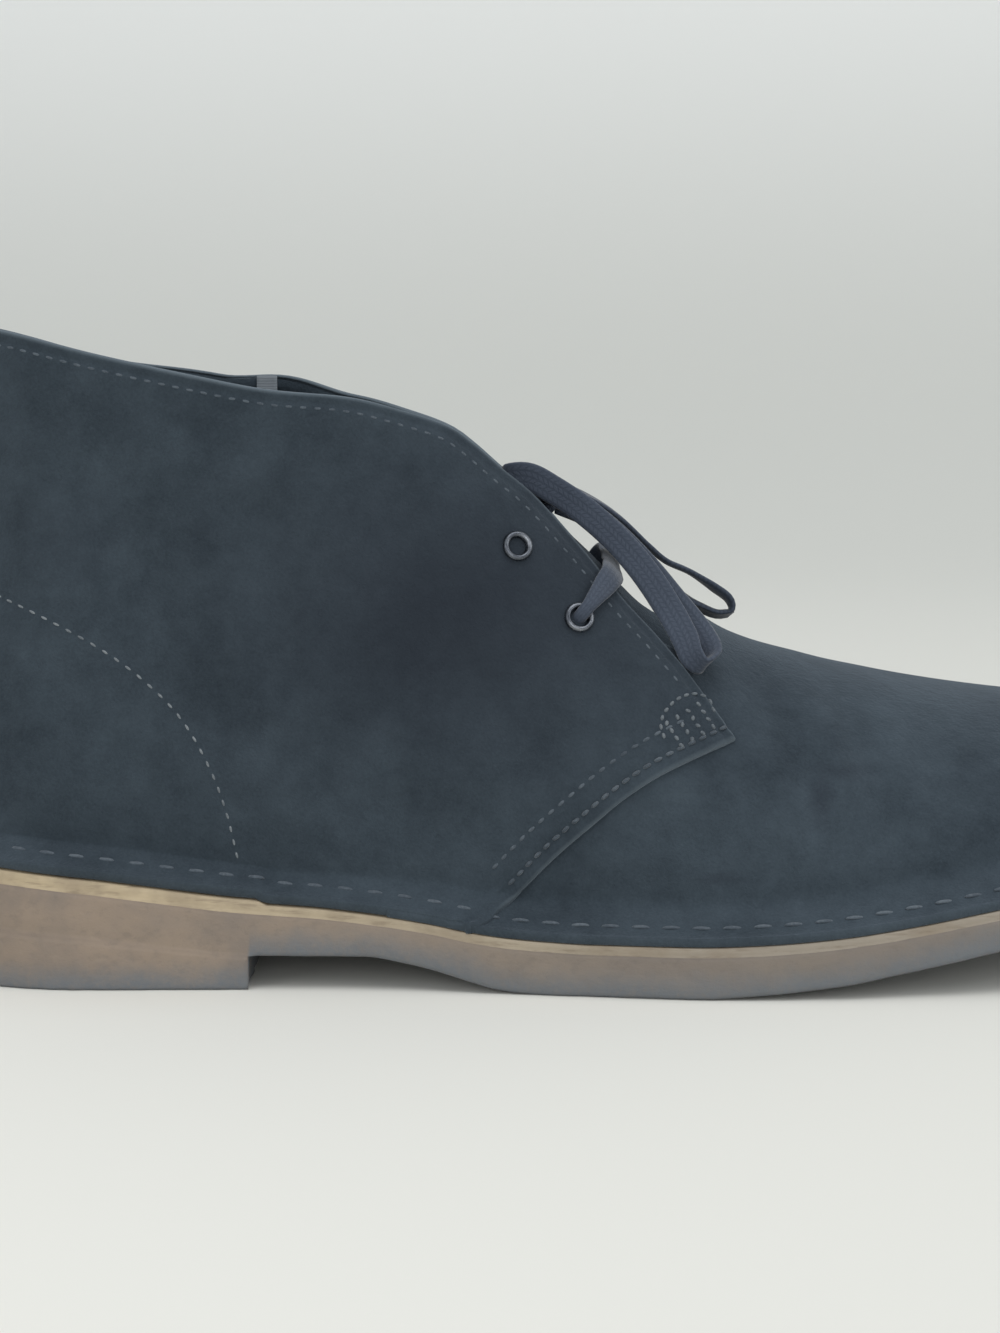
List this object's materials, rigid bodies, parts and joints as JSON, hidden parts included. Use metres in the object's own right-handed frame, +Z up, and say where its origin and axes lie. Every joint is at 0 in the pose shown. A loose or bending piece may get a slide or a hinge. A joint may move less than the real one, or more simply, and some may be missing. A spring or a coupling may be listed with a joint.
{
  "type": "chukka boot",
  "caption": "Low ankle boot in suede with a turned-out stitched edge, crepe rubber sole and heel, and a flat lace tied in a bow, for the right foot.",
  "frame": {"origin": "middle of the sole's length and width, on the floor", "axes": "+X towards the toe, -Y towards the outer side of the foot, +Z up"},
  "size_m": [0.3, 0.1118, 0.1362],
  "materials": {
    "suede": "slate blue napped suede, matt",
    "crepe": "grey-brown crepe rubber, worn and slightly dirty",
    "tan": "light tan edge, smooth",
    "sock": "tan sock leather, smooth",
    "eyelet": "dark burnished metal",
    "lace": "flat woven cotton lace, matt"
  },
  "bodies": {
    "root": {"outsole": "crepe", "heel": "crepe", "midsole": "tan", "insole": "sock", "upper": "suede", "tongue": "suede", "eyelet_outer_1": "eyelet", "eyelet_outer_2": "eyelet", "eyelet_inner_1": "eyelet", "eyelet_inner_2": "eyelet", "lace_bar": "lace", "lace_knot": "lace", "lace_loop_outer": "lace", "lace_loop_inner": "lace", "lace_end_outer": "lace", "lace_end_inner": "lace"}
  },
  "joints": []
}
